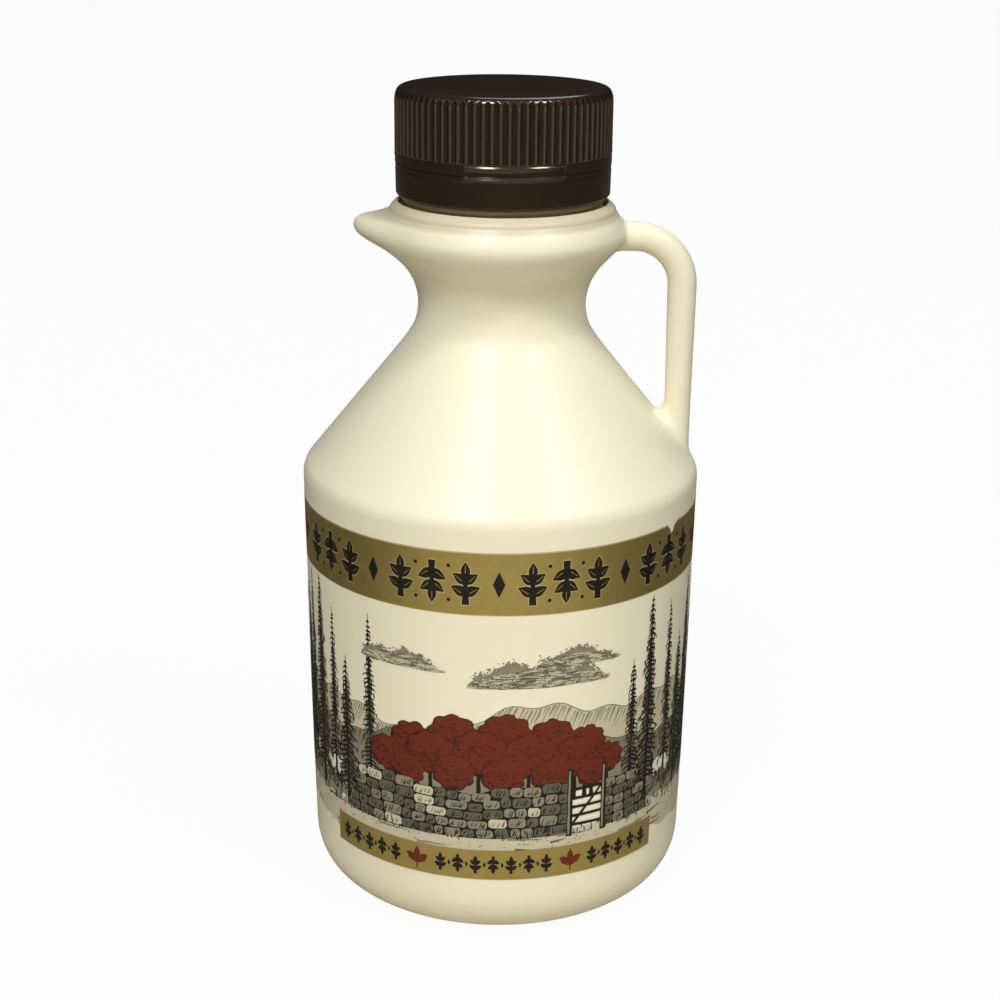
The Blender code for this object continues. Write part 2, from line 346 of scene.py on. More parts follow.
jug = {
    "baseRadius": 27.5 * mm, "heelHeight": 11 * mm, "heelExponent": 2.32, "heelSteps": 24,
    "wallBottomRadius": 38.4 * mm, "shoulderRadius": 39.6 * mm, "shoulderHeight": 88.1 * mm,
    "shoulderRound": 4.4 * mm, "shoulderSteps": 12, "coneTopRadius": 21 * mm, "coneTopHeight": 111.1 * mm,
    "waistRadius": 16.45 * mm, "waistHeight": 121 * mm,
    "flareRadius": 23.9 * mm, "flareHeight": 134.8 * mm,
    "collarRadius": 21.9 * mm, "collarHeight": 139.2 * mm,
    "slotRadius": 18.9 * mm, "beadRadius": 19.65 * mm,
    "neckRadius": 18.7 * mm, "neckTop": 160.7 * mm,
    "steps": 288, "rows": 0.55 * mm, "wallRows": 4 * mm,
    "rootFillet": (1.3 * mm, 1.3 * mm), "rootSpan": (125 * mm, 141 * mm),
    "footFillet": (1.2 * mm, 3.8 * mm), "footSpan": (84 * mm, 112 * mm),
}
lip = {
    # height on the flare, how far the lip stands out there, and how much it rises, in mm
    "profile": [
        (127.4, 0.0, 0.0), (129.3, 0.3, 0.0), (130.6, 0.8, 0.05), (131.8, 1.8, 0.2), (132.9, 3.4, 0.3),
        (134.0, 4.6, 0.5), (135.1, 5.05, 0.8), (136.2, 4.85, 0.95), (137.2, 3.95, 0.65), (138.0, 2.25, 0.12),
        (138.7, 0.75, -0.05), (139.3, 0.1, -0.05), (139.6, 0.0, 0.0)],
    "tipRound": radians(6.0)}
grip = {
    "radius": 2.85 * mm, "footRadius": 2.56 * mm, "slimLow": 96 * mm, "slimHigh": 128 * mm,
    "topHeight": 134 * mm, "x": 35.25 * mm, "bend": 9.5 * mm, "bendSteps": 32,
    "rootX": 18 * mm, "footHeight": 90 * mm, "rows": 0.6 * mm, "sides": 56,
    # only vertices of the body beyond nearX and within nearY can lie on the fillets
    "nearX": 12 * mm, "nearY": 9 * mm,
}


def heelPath():
    path = []
    steps = jug["heelSteps"]
    for step in range(steps + 1):
        angle = pi / 2 * step / steps
        out = sin(angle) ** (2 / jug["heelExponent"]) if step else 0.0
        rise = 1 - cos(angle) ** (2 / jug["heelExponent"]) if step < steps else 1.0
        path.append((between(jug["baseRadius"], jug["wallBottomRadius"], out), jug["heelHeight"] * rise))
    return path


def shoulderPath():
    corner = Vector((jug["shoulderRadius"], jug["shoulderHeight"]))
    down = (Vector((jug["wallBottomRadius"], jug["heelHeight"])) - corner).normalized()
    up = (Vector((jug["coneTopRadius"], jug["coneTopHeight"])) - corner).normalized()
    half = down.angle(up) / 2
    centre = corner + (down + up).normalized() * jug["shoulderRound"] / sin(half)
    start = corner + down * jug["shoulderRound"] / tan(half) - centre
    path = []
    for step in range(jug["shoulderSteps"] + 1):
        angle = (pi - 2 * half) * step / jug["shoulderSteps"]
        path.append((centre.x + start.x * cos(angle) - start.y * sin(angle),
                     centre.y + start.x * sin(angle) + start.y * cos(angle)))
    return path


def offsetPath(radius, height, offsets):
    # places in mm outwards and upwards from one point
    return [(radius + out * mm, height + up * mm) for out, up in offsets]


def flarePath():
    r, z = jug["coneTopRadius"], jug["coneTopHeight"]
    points = [(r * 1.2, z - r * 0.25)] + offsetPath(r, z, [(0, 0), (-2.4, 3.2)])
    points += offsetPath(jug["waistRadius"], jug["waistHeight"], [(0.6, -3.8), (0, 0), (0.8, 4.0), (2.6, 7.2)])
    points += offsetPath(jug["flareRadius"], jug["flareHeight"], [(-2.9, -4.4), (-0.9, -2.2), (0, 0), (-0.55, 2.1)])
    points += offsetPath(jug["collarRadius"], jug["collarHeight"], [
        (0.5, -0.8), (0.1, -0.15), (0, 0.25), (-0.2, 0.7), (-0.65, 1.15), (-1.1, 1.55), (-1.35, 1.75),
        (-1.55, 1.7), (-1.7, 1.4), (-1.8, 0.9)])
    return smoothPath(points, 8)


def slotPath():
    # the narrow groove round the neck, and the bead in the shade of the cap
    collar, slot, height = jug["collarRadius"], jug["slotRadius"], jug["collarHeight"]
    groove = offsetPath(collar, height, [(-1.75, 1.2), (-1.8, 0.9), (-2.0, 0.5)])
    groove += offsetPath(slot, height, [(0.25, 0.45), (0, 0.75), (0, 1.5), (0, 1.85)])
    bead = offsetPath(jug["beadRadius"], height, [
        (-0.15, 1.97), (0, 2.12), (0.03, 2.45), (0, 2.75), (-0.15, 2.93)])
    neck = [(slot, height + 2.95 * mm), (jug["neckRadius"], height + 3 * mm), (jug["neckRadius"], jug["neckTop"])]
    return smoothPath(groove, 4) + bead + neck


def jugOutline():
    # from the base's centre up the outside to the top of the neck
    return heelPath() + shoulderPath() + flarePath() + slotPath()


def lipShare(angle):
    # seen from above, the lip runs straight from the flare to a rounded tip
    reach = max(row[1] for row in lip["profile"]) * mm
    half = acos(jug["flareRadius"] / (jug["flareRadius"] + reach))
    blunt = hypot(angle, lip["tipRound"]) - lip["tipRound"]
    if blunt >= half:
        return 0.0
    return (jug["flareRadius"] / cos(half - blunt) - jug["flareRadius"]) / reach


def pullLip(mesh):
    # the flare is drawn out towards -X into a rounded beak
    rows = lip["profile"]
    table = np.array(smoothPath([rows[0]] + rows + [rows[-1]], 8)) * mm
    for vert in mesh.vertices:
        x, y, z = vert.co
        share = lipShare(atan2(y, -x))
        radius = hypot(x, y)
        if share > 0 and table[0, 0] < z < table[-1, 0] and radius > 18 * mm:
            out = np.interp(z, table[:, 0], table[:, 1]) * share
            rise = np.interp(z, table[:, 0], table[:, 2]) * share
            vert.co = (x * (radius + out) / radius, y * (radius + out) / radius, z + rise)


def gripRoute():
    bendX, bendZ = grip["x"] - grip["bend"], grip["topHeight"] - grip["bend"]
    corner = [(grip["rootX"], grip["topHeight"])]
    for step in range(grip["bendSteps"] + 1):
        angle = pi / 2 * step / grip["bendSteps"]
        corner.append((bendX + grip["bend"] * sin(angle), bendZ + grip["bend"] * cos(angle)))
    corner.append((grip["x"], grip["footHeight"]))
    return evenPath(corner, grip["rows"])


def gripRadius(height):
    # fullest at the bend, slimmer towards the foot
    return between(grip["footRadius"], grip["radius"], ramp(height, grip["slimLow"], grip["slimHigh"]))


def gripMesh():
    route = gripRoute()
    shape = bmesh.new()
    rings = []
    side, steps = Vector((0, 1, 0)), grip["sides"]
    for index, (x, z) in enumerate(route):
        a, b = route[max(index - 1, 0)], route[min(index + 1, len(route) - 1)]
        out = side.cross(Vector((b[0] - a[0], 0, b[1] - a[1])).normalized())
        ring = []
        for step in range(steps):
            turn = out * cos(tau * step / steps) + side * sin(tau * step / steps)
            ring.append(shape.verts.new(Vector((x, 0, z)) + turn * gripRadius(z)))
        rings.append(ring)
    for first, second in zip(rings, rings[1:]):
        bridge(shape, first, second)
    shape.faces.new(rings[0][::-1])
    shape.faces.new(rings[-1])
    bmesh.ops.recalc_face_normals(shape, faces=shape.faces)
    return finishMesh("grip", shape)


def nearest(points, line):
    # distance of every point to a polyline, and where along it the nearest place is
    best = np.full(len(points), np.inf)
    place = np.zeros((len(points), 2))
    for start, end in zip(line, line[1:]):
        step = end - start
        t = np.clip(((points - start) @ step) / max(step @ step, 1e-18), 0, 1)
        near = start + t[:, None] * step
        far = np.linalg.norm(points - near, axis=1)
        closer = far < best
        best[closer] = far[closer]
        place[closer] = near[closer]
    return best, place


def jugField(points, outline, route, fillet):
    # signed distance to the body and the grip joined with a fillet
    x, y, z = points.T
    body, _ = nearest(np.stack([np.hypot(x, y), z], axis=1), outline)
    body = np.where(np.hypot(x, y) < np.interp(z, outline[:, 1], outline[:, 0]), -body, body)
    off, place = nearest(points[:, [0, 2]], route)
    tube = np.hypot(off, y) - np.array([gripRadius(height) for height in place[:, 1]])
    # the fillet is widest on the side towards the jug's axis
    inward = np.clip((grip["x"] + grip["footRadius"] - x) / (2 * grip["footRadius"]), 0, 1)
    fillet = between(*fillet, inward)
    blend = np.maximum(fillet - np.abs(body - tube), 0) / fillet
    return np.minimum(body, tube) - blend ** 2 * fillet / 4, np.abs(body - tube) < fillet


def filletJunction(mesh, fillet, low, high):
    # moves the vertices near the seam between grip and body onto a rounded inner corner
    outline = np.array([p for p in jugOutline() if low - 8 * mm < p[1] < high + 8 * mm])
    route = np.array(gripRoute())
    coords = np.empty(len(mesh.vertices) * 3)
    mesh.vertices.foreach_get("co", coords)
    coords = coords.reshape(-1, 3)
    x, y, z = coords.T
    near = (x > grip["nearX"]) & (np.abs(y) < grip["nearY"]) & (z > low) & (z < high)
    picked = np.nonzero(near)[0]
    points = coords[picked]
    _, moving = jugField(points, outline, route, fillet)
    picked, points = picked[moving], points[moving]
    tiny = 0.01 * mm

    def field(places):
        return jugField(places, outline, route, fillet)[0]

    for _ in range(5):
        slope = np.stack([
            (field(points + offset) - field(points - offset)) / (2 * tiny) for offset in np.eye(3) * tiny], axis=1)
        slope /= np.maximum((slope ** 2).sum(axis=1), 0.25)[:, None]
        points = points - slope * field(points)[:, None]
    coords[picked] = points
    mesh.vertices.foreach_set("co", coords.ravel())
    mesh.update()


def makeJug(material):
    outline = evenPath(jugOutline(), jug["rows"], jug["wallRows"])
    mesh = turnedMesh("jugShell", [(0, jug["neckTop"])] + outline[::-1] + [(0, 0)], jug["steps"])
    pullLip(mesh)
    body = addObject("jugShell", mesh, material)
    cutter = addObject("gripTube", gripMesh(), material)
    join = body.modifiers.new("joinGrip", "BOOLEAN")
    join.operation = "UNION"
    join.object = cutter
    join.solver = "EXACT"
    bpy.context.view_layer.update()
    graph = bpy.context.evaluated_depsgraph_get()
    joined = bpy.data.meshes.new_from_object(body.evaluated_get(graph))
    body.modifiers.clear()
    body.data = joined
    bpy.data.objects.remove(cutter, do_unlink=True)
    filletJunction(joined, jug["rootFillet"], *jug["rootSpan"])
    filletJunction(joined, jug["footFillet"], *jug["footSpan"])
    joined.shade_smooth()
    joined.set_sharp_from_angle(angle=sharpAngle)
    dress(body, "jug")


cap = {
    "top": 162.6 * mm, "radius": 20.88 * mm, "bottom": 148.42 * mm, "bore": 19 * mm, "innerWall": 3 * mm,
    "ribs": 80, "perRib": 12, "ribDepth": 0.6 * mm, "ribTurn": radians(1.27), "ribPoint": 1.15,
    "ribBottom": 150.6 * mm, "recessTop": 149.5 * mm, "recessRadius": 20.5 * mm, "blockRadius": 20.8 * mm,
    "windows": 3, "windowHalf": radians(27.0), "windowAt": radians(277.0), "windowEdge": radians(0.7),
    # outwards and upwards in mm: the rounded top edge from the top, the bevelled ridge from the ribs' foot
    "edge": [(-1.9, 0.0), (-1.3, -0.08), (-0.8, -0.36), (-0.5, -0.72), (-0.3, -1.15), (-0.15, -1.7), (-0.06, -2.4),
             (0.0, -3.2)],
    "ridge": [(0.0, 0.1), (-0.05, -0.08), (-0.2, -0.24), (-0.17, -0.36), (-0.08, -0.5), (0.0, -0.66), (0.02, -0.8),
              (-0.06, -0.98), (-0.25, -1.08), (-0.6, -1.1)],
}


def blockShare(angle):
    # 0 in the shallow windows under the ribs, 1 on the plain wall between them
    turn = tau / cap["windows"]
    off = abs((angle - cap["windowAt"] + turn / 2) % turn - turn / 2)
    return ramp(off, cap["windowHalf"] - cap["windowEdge"], cap["windowHalf"] + cap["windowEdge"])


def makeCap(material):
    r, top, foot, recess = cap["radius"], cap["top"], cap["ribBottom"], cap["recessRadius"]
    tiny = 0.01 * mm
    outline = [(0, top), (r * 0.5, top)]
    outline += offsetPath(r, top, smoothPath([(-2.4, 0.0)] + cap["edge"] + [(0.0, -4.2)], 4))
    outline += offsetPath(r, foot, [(0, up) for up in (7.2, 5.6, 3.8, 2.2, 1.2, 0.4, 0.03, 0.0)])
    outline += offsetPath(r, foot, smoothPath(cap["ridge"], 3))
    outline += offsetPath(recess, cap["recessTop"], [(0.12, -0.03), (0, -0.15), (0, -0.4), (0, -0.65), (0, -0.9)])
    outline += [(recess, cap["bottom"]), (cap["bore"], cap["bottom"])]
    outline += [(cap["bore"], cap["bottom"] + cap["innerWall"])]

    def ribbed(radius, height, angle):
        if height < foot + tiny:
            wall = height < foot - tiny and radius > recess - 0.3 * mm
            return radius + (cap["blockRadius"] - radius) * blockShare(angle) if wall else radius
        if radius < r - cap["ribDepth"]:
            return radius
        # pointed ribs with round-bottomed grooves between them
        phase = ((angle + cap["ribTurn"]) / tau * cap["ribs"] + 0.5) % 1.0
        return min(radius, r - cap["ribDepth"] * sin(pi / 2 * abs(2 * phase - 1) ** cap["ribPoint"]))

    mesh = turnedMesh("capShell", outline, cap["ribs"] * cap["perRib"], ribbed)
    mesh.set_sharp_from_angle(angle=sharpAngle)
    dress(addObject("capShell", mesh, material), "cap")


band = {
    "top": 148.37 * mm, "bottom": 142.35 * mm, "radius": 20.74 * mm, "bore": 19 * mm, "steps": 480,
    # outwards and upwards in mm from the top and the bottom of the outer wall
    "upper": [(-0.5, 0), (-0.34, -0.02), (-0.24, -0.3), (-0.1, -0.62), (0, -1.0), (-0.01, -1.7), (-0.04, -3.4)],
    "lower": [(-0.08, 0.5), (-0.12, 0.2), (-0.28, 0), (-0.5, 0)],
    "bevel": 1.2 * mm, "bevelSoft": 0.3 * mm, "bevelOut": 0.03 * mm,
}


def makeBand(material):
    r, top, bottom, bore = band["radius"], band["top"], band["bottom"], band["bore"]
    outer = offsetPath(r, top, band["upper"]) + offsetPath(r, bottom, band["lower"])
    outline = [(bore, top), (r - 0.36 * mm, top)] + smoothPath(outer, 4) + [(bore, bottom)]
    low, out = top - band["bevel"], band["bevelOut"]

    def bevelled(radius, height, angle):
        # the soft upper edge shows in the windows only
        if low < height < top - out and radius > bore + 0.5 * mm:
            return radius + (r - out - radius) * blockShare(angle) * ramp(height, low, low + band["bevelSoft"])
        return radius

    mesh = turnedMesh("tamperBandShell", outline, band["steps"], bevelled, closed=True)
    mesh.set_sharp_from_angle(angle=sharpAngle)
    dress(addObject("tamperBandShell", mesh, material), "tamper_band")


art = {
    # places along the wall (u, from the middle of the front) and heights in mm; levels lie on each other
    "seed": 11, "radius": 39, "step": 1.1, "lift": 0.03, "layer": 0.006, "fade": (55, 74),
    "bandLow": 70.15, "bandHigh": 82.65, "edge": 0.28, "bandLeaves": (-53.4, 53.2),
    "bandRuns": ((-47.4, -28.2, 3), (-22.2, -3, 3), (3, 22.2, 3), (28.2, 47.4, 3)),
    "nick": ((37.1, 0), (37.5, 0.6), (37.9, 0.8), (38.5, 1.9), (39.3, 1.8), (39.8, 0.7), (40.4, 0.45), (41, 0)),
    "strip": (-37.7, 35.9, 14.46, 20.8), "stripLeaves": (-16.2, 14.9),
    # a sprig's leaves: place on the stalk, length, width, direction
    "sprigLeaves": ((0.9, 2.5, 1.4, 90), (-0.1, 2.5, 1.5, 42), (-0.1, 2.5, 1.5, 138),
                    (-1.9, 2.6, 1.6, 34), (-1.9, 2.6, 1.6, 146)),
    # left, right, foot, courses
    "wall": (-34.5, 36, 23.4, 5), "gate": (14.5, 22), "groundTop": 24.4,
    # wash, hatching, level, base, height, foot, turn of the wave
    "ridges": (("paleGreyInk", "greyInk", 0, 48, 5.4, 40, 0.4),
               ("greyInk", "darkGreyInk", 2, 42.6, 3.8, 33, 2.1)),
    # middle, foot, half width, height
    "clouds": ((7.5, 55.6, 13.5, 5.6), (15, 59.4, 8, 3.6), (-20.5, 58.2, 8.5, 3.8),
               (-66, 60, 10, 3), (66, 61, 10, 3)),
    # level, shade, and the crowns of a row as place, height, size
    "grove": (
        (5, 0.92, ((-17, 42.6, 4.9), (-8.6, 45, 5.2), (1.4, 45.4, 5.4), (10.4, 44.2, 5), (17.6, 42.4, 4.4))),
        (8, 1, ((-22.6, 38.8, 4.4), (-13.2, 41, 5.3), (-3.6, 41.8, 5.6), (6.2, 41.2, 5.4), (15.2, 39.8, 5),
                (22.6, 38.2, 3.8))),
        (11, 1, ((-18.2, 36.4, 3.8), (-8.6, 37.2, 4.4), (1.2, 37, 4.5), (10.6, 36.6, 4.2), (19.2, 35.8, 3.4)))),
    "scrub": ((-62, 27.5, 4.2), (-54, 27, 4.6), (-47.5, 26, 4.4), (-40.5, 25.8, 4.2), (-36, 26.4, 3.4),
              (38.5, 26.6, 3.8), (44, 26, 4.4), (50, 26.2, 4.6), (56.5, 26.6, 4.6), (63.5, 27.2, 4.4)),
    # place, foot, tip, width
    "farFirs": (
        (-55.4, 30, 62.5, 6.4), (-49, 29, 69.6, 6), (-38.4, 29, 64.8, 5.6), (-27, 31, 66.8, 5),
        (28.6, 31, 57.5, 5.2), (40.4, 29, 66.5, 5.8), (52, 29, 60.5, 6.2), (58.5, 29, 68.5, 6.4)),
    "nearFirs": (
        (-80, 29, 52, 7.4), (-72.5, 28, 64, 8.4), (-68.5, 28, 69, 8), (-62.5, 27, 69.4, 9), (-57, 27, 69.6, 9.2),
        (-52.2, 25.5, 66, 8.8), (-43.8, 24.5, 69.8, 8.8), (-33.8, 25, 56, 8.2), (33.4, 26, 69.6, 7.8),
        (45.6, 24.6, 58, 9), (50.6, 24, 69.8, 8.4), (56, 25.5, 69.6, 9), (61, 27, 69.2, 9), (66.5, 27, 68.6, 8.6),
        (72, 28, 62, 8.6), (79, 29, 54, 7.6)),
}
chance = random.Random(art["seed"])
vary = chance.uniform
roll = chance.random
inks = {name: [] for name in inkFinish}


def put(ink, level, *shapes):
    # places in the artwork are (arc length, height) in mm; a higher level is printed over a lower one
    inks[ink] += [(shape, level) for shape in shapes]


def fill(ink, level, low, high):
    # a wash between two lines of points, in four-sided shapes
    for k in range(len(low) - 1):
        put(ink, level, [low[k], low[k + 1], high[k + 1], high[k]])


def stroke(points, widths):
    # a tapered pen line as a chain of four-sided shapes
    sides = []
    for index, (u, z) in enumerate(points):
        a, b = points[max(index - 1, 0)], points[min(index + 1, len(points) - 1)]
        du, dz = b[0] - a[0], b[1] - a[1]
        half = widths[index] / 2 / (hypot(du, dz) or 1.0)
        sides.append(((u - dz * half, z + du * half), (u + dz * half, z - du * half)))
    return [[first[0], first[1], second[1], second[0]] for first, second in zip(sides, sides[1:])]


def pen(ink, level, u1, z1, u2, z2, wide, narrow=0.08, shake=0.12, parts=0):
    # a line drawn by hand: wide at the start, with a slight shake
    parts = parts or max(2, int(dist((u1, z1), (u2, z2)) / 1.2))
    points, widths = [], []
    for step in range(parts + 1):
        t = step / parts
        points.append((between(u1, u2, t) + vary(-shake, shake), between(z1, z2, t) + vary(-shake, shake) / 2))
        widths.append(between(wide, narrow, t))
    put(ink, level, *stroke(points, widths))


def box(left, right, low, high):
    return [(left, low), (right, low), (right, high), (left, high)]


def dot(u, z, radius, sides=6, flat=1.0):
    turn = vary(0, tau)
    angles = [turn + tau * k / sides for k in range(sides)]
    return [(u + radius * cos(a), z + radius * flat * sin(a)) for a in angles]


def lozenge(u, z, wide, tall):
    return [(u - wide / 2, z), (u, z - tall / 2), (u + wide / 2, z), (u, z + tall / 2)]


def leafShape(u, z, length, width, angle, bend=0.0):
    # a plain pointed leaf with its stalk end at (u, z)
    shape = []
    for side, steps in ((1, range(9)), (-1, range(7, 0, -1))):
        for step in steps:
            t = step / 8
            across = side * width / 2 * sin(pi * t ** 0.8) + bend * width * sin(pi * t)
            along = length * t
            shape.append((u + along * cos(angle) - across * sin(angle),
                          z + along * sin(angle) + across * cos(angle)))
    return shape


def lobedLeaf(u, z, size):
    # a plain three-lobed leaf on a short stalk
    outline = [(0.0, 0.55), (0.13, 0.30), (0.15, 0.14), (0.32, 0.22), (0.52, 0.16), (0.43, 0.0), (0.40, -0.12),
               (0.24, -0.20), (0.10, -0.26), (0.035, -0.27), (0.03, -0.52)]
    right = [(u + a * size, z + b * size) for a, b in outline]
    return right + [(2 * u - a, b) for a, b in reversed(right[1:])]


def drawSprig(u, middle, tall, up, level, ribs):
    # an upright sprig: stalk, end bud and two pairs of leaves, on the band with pale rims and ribs
    k = tall / 6.6

    def stalk(ink, at, low, extra):
        points = [(u, middle - up * low * k), (u, middle - up * 1.0 * k), (u, middle + up * 1.2 * k)]
        put(ink, at, *stroke(points, [1.15 * k + extra, 0.8 * k + extra, 0.5 * k]))

    if ribs:
        stalk("paleGoldRimAndHighlight", level, 3.42, 0.26)
        level += 1
    stalk("blackInk", level, 3.3, 0.0)
    for at, length, width, degrees in art["sprigLeaves"]:
        angle = up * radians(degrees)
        lean = (0.12 if degrees < 90 else -0.12 if degrees > 90 else 0.0) * up
        c, s, z = cos(angle), sin(angle), middle + up * at * k
        if ribs:
            put("paleGoldRimAndHighlight", level - 1, leafShape(
                u - 0.16 * c, z - 0.16 * s, length * k + 0.34, width * k + 0.28, angle, lean))
        put("blackInk", level, leafShape(u, z, length * k, width * k, angle, lean))
        if ribs:
            rib = [(u + share * length * k * c, z + share * length * k * s) for share in (0.3, 0.8)]
            put("goldInk", level + 1, *stroke(rib, [0.16, 0.07]))


def drawSprigs(start, end, count, middle, tall, level, ribs):
    # sprigs turned up and down in turn; the places between them are given back
    pitch = (end - start) / count
    for unit in range(count):
        drawSprig(start + pitch * (unit + 0.5), middle, tall, -1 if unit % 2 else 1, level, ribs)
    return [start + pitch * unit for unit in range(1, count)]


def drawBand():
    low, high, edge, runs = art["bandLow"], art["bandHigh"], art["edge"], art["bandRuns"]
    middle, half = (low + high) / 2, pi * art["radius"]
    # the print is chipped at one place of its upper edge
    nick = [(u, high - deep) for u, deep in art["nick"]]
    top = [(-half, high)] + nick + [(half, high)]
    fill("goldInk", 0, [(u, low) for u, _ in top], top)
    # pale gold strips along the band's edges: the one along the top edge is a painted highlight of the raised ink's
    # edge
    put("paleGoldRimAndHighlight", 1, box(-half, nick[0][0], high - edge, high), box(nick[-1][0], half, high - edge, high),
        box(-half, half, low, low + edge / 2))
    for run in runs:
        for u in drawSprigs(*run, middle, 8.4, 1, True):
            put("blackInk", 1, dot(u, middle - 3.4, 0.36, 10), dot(u, middle + 3.4, 0.36, 10))
    for left, right in zip(runs, runs[1:]):
        put("blackInk", 1, lozenge((left[1] + right[0]) / 2, middle, 2.3, 5.2))
    for u in art["bandLeaves"]:
        put("redInk", 1, lobedLeaf(u, middle, 8.6))
        for over, z in ((0.0, 3.4), (3.1, 1.0), (-3.1, 1.0)):
            put("darkRedInk", 2, *stroke([(u, middle - 1.6), (u + over, middle + z)], [0.42, 0.12]))


def drawStrip():
    left, right, low, high = art["strip"]
    put("goldInk", 20, box(left, right, low, high))
    middle = (low + high) / 2
    first, second = art["stripLeaves"]
    for u in (first, second):
        put("redInk", 21, lobedLeaf(u, middle - 0.1, 4.6))
        put("darkRedInk", 22, *stroke([(u, middle - 1.0), (u, middle + 1.7)], [0.25, 0.1]))
    for start, end in ((left + 1.4, first - 3.2), (first + 3.2, second - 3.2), (second + 3.2, right - 1.4)):
        for u in drawSprigs(start, end, max(2, round((end - start) / 3.5)), middle, 3.9, 21, False):
            put("blackInk", 21, lozenge(u, middle, 0.6, 1.3))


def fade(u):
    # 1 over most of the picture, falling to 0 at its two ends
    return 1 - ramp(abs(u), *art["fade"])


def drawHills():
    # two far ridges: pale washes under slanted pen hatching
    for wash, hatch, level, base, height, low, turn in art["ridges"]:
        def ridge(u):
            wave = 0.5 * sin(u * 0.075 + turn) + 0.3 * sin(u * 0.17 + turn * 2)
            wave += 0.12 * sin(u * 0.61 + turn)
            return low + (base - low + height * wave) * fade(u) ** 0.7
        crest = [(k * 1.3, ridge(k * 1.3)) for k in range(-58, 59)]
        fill(wash, level, [(u, low) for u, _ in crest], crest)
        for step in range(260):
            u = -75 + step * 150 / 260 + vary(-0.3, 0.3)
            z = ridge(u) - vary(0.1, 0.6)
            length = vary(1.6, 4.2) * fade(u)
            pen(hatch, level + 1, u, z, u - length * 0.45, z - length, 0.3, 0.1)
        put(hatch, level + 1, *stroke(crest, [0.22] * len(crest)))


def drawClouds():
    # long banks of cloud: a wash, flat below and humped above, a grainy upper edge and level pen lines
    for u, z, wide, tall in art["clouds"]:
        first, second = vary(0, tau), vary(0, tau)
        top = []
        for k in range(49):
            t = k / 48
            swell = 0.72 + 0.18 * sin(9.0 * t + first) + 0.07 * sin(23.0 * t + second)
            swell += vary(-0.02, 0.02)
            top.append((u - wide + 2 * wide * t, z + tall * sin(pi * t) ** 0.6 * swell))
        foot = [(a, z - 0.4 * sin(pi * (a - u + wide) / (2 * wide))) for a, b in top]
        fill("greyInk", 4, foot, top)
        for _ in range(int(wide * 26)):
            a, b = chance.choice(top[3:-3])
            a, b = a + chance.gauss(0, 0.5), b + abs(chance.gauss(0, 0.45)) - 0.15
            put("greyInk", 4, dot(a, b, vary(0.1, 0.3), 5, 0.8))
        for _ in range(int(wide * tall * 6)):
            t = roll()
            b = z - 0.3 + tall * sin(pi * t) ** 0.6 * 0.68 * roll() ** 1.2
            a = u - wide + 2 * wide * t
            ink = chance.choice(("darkGreyInk", "paleGreyInk"))
            pen(ink, 5, a, b, a + vary(0.8, 2.4), b + vary(-0.1, 0.1), 0.26, 0.08, 0.05)


def drawConifer(u, low, high, width, level):
    # a fir drawn as a trunk with drooping branches and hanging twigs
    edge = []
    for k in range(9):
        t, z = 1 - k / 9, low + (high - low) * (0.12 + 0.8 * k / 9)
        edge += [(width * 0.33 * t, z), (width * 0.17 * t, z + 0.5)]
    put("darkGreyInk", level, [(u - a, z) for a, z in edge] + [(u + a, z) for a, z in edge[::-1]])
    pen("blackInk", level + 1, u, low, u, high, 0.085 * width + 0.3, 0.12, 0.1)
    rise = low + (high - low) * 0.10
    while rise < high - 0.8:
        t = (high - rise) / (high - low)
        for side in (-1, 1):
            reach = (width / 2 * t ** 0.85 + 0.25) * vary(0.68, 1.15)
            end = u + side * reach
            droop = reach * vary(0.2, 0.5)
            pen("blackInk", level + 1, u, rise + droop * 0.5, end, rise - droop * 0.5, 0.6, 0.12, 0.1)
            for _ in range(int(reach * 1.6)):
                share = vary(0.2, 0.95)
                a, b = u + (end - u) * share, rise + droop * (0.5 - share)
                pen("blackInk", level + 1, a, b, a + side * vary(0.0, 0.5), b - vary(0.5, 1.3), 0.28, 0.1, 0.05, 1)
        rise += vary(0.8, 1.2)


def drawGrove():
    # round-headed trees in autumn red, back row first, with hatched shade and darker dabs of leaf
    for level, lit, crowns in art["grove"]:
        for u, z, size in crowns:
            pen("blackInk", level, u, 30.5, u + vary(-0.3, 0.3), z, 1.0, 0.5, 0.1)
            for ink, over, grow in (("darkRedInk", 0, 1.05), ("redInk", 1, 0.97)):
                lobes, outline = 9, []
                for k in range(lobes * 5):
                    a = tau * k / (lobes * 5)
                    r = size * grow * (0.86 + 0.13 * abs(sin(a * lobes / 2 + u)) + vary(-0.02, 0.02))
                    outline.append((u + r * cos(a) + 0.12 * over, z + 0.86 * r * sin(a) + 0.18 * over))
                put(ink, level + over, outline)
            for _ in range(int(size * 13)):
                angle, r = vary(0, tau), size * sqrt(roll()) * 0.92
                a, b = u + r * cos(angle), z + 0.86 * r * sin(angle)
                shade = (z - b + (u - a) * 0.35) / size * lit + vary(-0.35, 0.35)
                if shade > -0.3:
                    pen("blackInk" if shade > 0.62 else "darkRedInk", level + 2,
                        a, b, a + vary(0.4, 1.0), b + vary(-0.6, 0.1), 0.42, 0.14, 0.04, 1)


def crestHeight(u):
    return 34.0 + 0.8 * sin(u * 0.21) + 0.4 * sin(u * 0.57 + 1.0)


